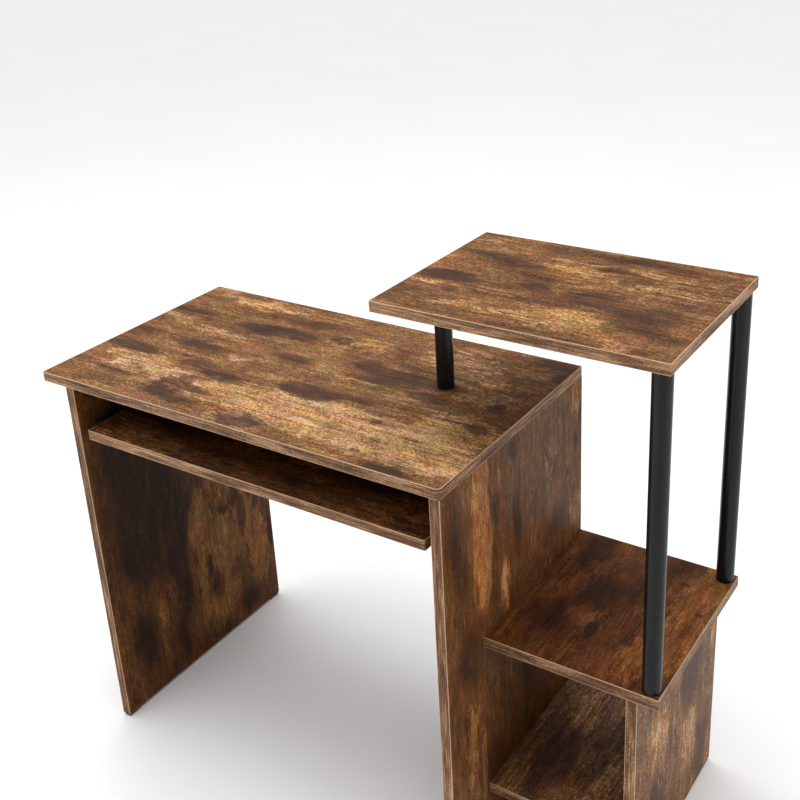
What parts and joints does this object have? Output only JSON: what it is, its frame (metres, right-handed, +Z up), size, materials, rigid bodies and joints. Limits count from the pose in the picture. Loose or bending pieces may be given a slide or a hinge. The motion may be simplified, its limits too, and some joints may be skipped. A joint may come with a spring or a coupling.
{
  "type": "computer desk with keyboard tray",
  "caption": "Compact computer desk: a laminated top on slab sides, a sliding keyboard tray, a low side shelf and a raised side shelf carried on black tubes.",
  "frame": {"origin": "middle of the whole desk's footprint, on the floor", "axes": "+X to the seated user's right, towards the side shelves; -Y towards the user; +Z up"},
  "size_m": [1.005, 0.41, 0.853],
  "materials": {
    "laminate_board": "satin rustic brown wood-print laminate on particle board",
    "edge_band": "satin wood-print edge banding",
    "black_tube": "satin black pipe",
    "black_plastic": "moulded black plastic",
    "runner_steel": "black epoxy-coated sheet steel",
    "nylon": "white nylon",
    "zinc_steel": "zinc-plated steel",
    "beech_dowel": "plain fluted beech"
  },
  "bodies": {
    "desk_frame": {"main_top": "laminate_board", "main_top_edge_band": "edge_band", "left_panel": "laminate_board", "left_panel_edge_band": "edge_band", "centre_panel": "laminate_board", "centre_panel_edge_band": "edge_band", "modesty_panel": "laminate_board", "modesty_panel_edge_band": "edge_band", "lower_shelf": "laminate_board", "lower_shelf_edge_band": "edge_band", "bottom_shelf": "laminate_board", "bottom_shelf_edge_band": "edge_band", "right_panel": "laminate_board", "right_panel_edge_band": "edge_band", "raised_shelf": "laminate_board", "raised_shelf_edge_band": "edge_band", "tube_left": "black_tube", "tube_front_right": "black_tube", "tube_back_right": "black_tube", "tube_top_plugs": "black_plastic", "tube_bottom_plugs": "black_plastic", "left_glides": "black_plastic", "centre_glides": "black_plastic", "right_glides": "black_plastic", "tube_studs": "zinc_steel", "shelf_inserts": "zinc_steel", "tube_bolts": "zinc_steel", "tube_washers": "zinc_steel", "cam_locks": "zinc_steel", "cam_bolts": "zinc_steel", "runner_panel_screws": "zinc_steel", "dowels": "beech_dowel", "left_fixed_runner": "runner_steel", "left_fixed_axle": "zinc_steel", "right_fixed_runner": "runner_steel", "right_fixed_axle": "zinc_steel"},
    "tray": {"keyboard_tray": "laminate_board", "keyboard_tray_edge_band": "edge_band", "left_tray_runner": "runner_steel", "right_tray_runner": "runner_steel", "left_tray_axle": "zinc_steel", "right_tray_axle": "zinc_steel", "runner_tray_screws": "zinc_steel"},
    "left_fixed_roller": {"left_fixed_roller": "nylon"},
    "right_fixed_roller": {"right_fixed_roller": "nylon"},
    "left_tray_roller": {"left_tray_roller": "nylon"},
    "right_tray_roller": {"right_tray_roller": "nylon"}
  },
  "joints": [
    {"name": "tray_slide", "type": "slide", "parent": "desk_frame", "child": "tray", "axis": [0, -1, 0], "range_m": [0, 0.22]},
    {"name": "left_fixed_roller_spin", "type": "hinge", "parent": "desk_frame", "child": "left_fixed_roller", "pos_m": [-0.4298, -0.165, 0.5645], "axis": [1, 0, 0], "continuous": true},
    {"name": "left_tray_roller_spin", "type": "hinge", "parent": "tray", "child": "left_tray_roller", "pos_m": [-0.4295, 0.115, 0.5662], "axis": [1, 0, 0], "continuous": true},
    {"name": "right_fixed_roller_spin", "type": "hinge", "parent": "desk_frame", "child": "right_fixed_roller", "pos_m": [0.2168, -0.165, 0.5645], "axis": [1, 0, 0], "continuous": true},
    {"name": "right_tray_roller_spin", "type": "hinge", "parent": "tray", "child": "right_tray_roller", "pos_m": [0.2165, 0.115, 0.5662], "axis": [1, 0, 0], "continuous": true}
  ],
  "couplings": [
    {"joint": "left_fixed_roller_spin", "follows": "tray_slide", "rad_per_m": 142.86},
    {"joint": "left_tray_roller_spin", "follows": "tray_slide", "rad_per_m": 114.94},
    {"joint": "right_fixed_roller_spin", "follows": "tray_slide", "rad_per_m": 142.86},
    {"joint": "right_tray_roller_spin", "follows": "tray_slide", "rad_per_m": 114.94}
  ]
}
